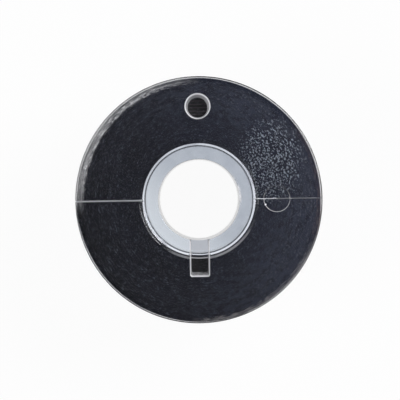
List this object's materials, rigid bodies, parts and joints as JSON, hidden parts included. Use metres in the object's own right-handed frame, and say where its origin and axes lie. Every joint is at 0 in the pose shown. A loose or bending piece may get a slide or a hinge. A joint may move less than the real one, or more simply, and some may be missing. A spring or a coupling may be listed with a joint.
{
  "type": "sewing machine bobbin",
  "caption": "Clear plastic flanged spool with a through bore, driver slots and thread holes, wound nearly full with black thread that feeds a sewing machine's lower stitch.",
  "frame": {"origin": "centre of the lower flange's outer face, on the bore's axis", "axes": "+Z along the bore, up from the face that the bobbin stands on; +Y from the axis to the thread holes; the driver slots run towards -Y; the mould's parting line lies along X"},
  "size_m": [0.0206, 0.0204, 0.0115],
  "materials": {
    "clear_plastic": "clear moulded plastic, polished, with fine handling scuffs",
    "black_thread": "black spun polyester thread, matt, with a faint blue cast"
  },
  "bodies": {
    "root": {"spool": "clear_plastic", "thread_winding": "black_thread"}
  },
  "joints": []
}
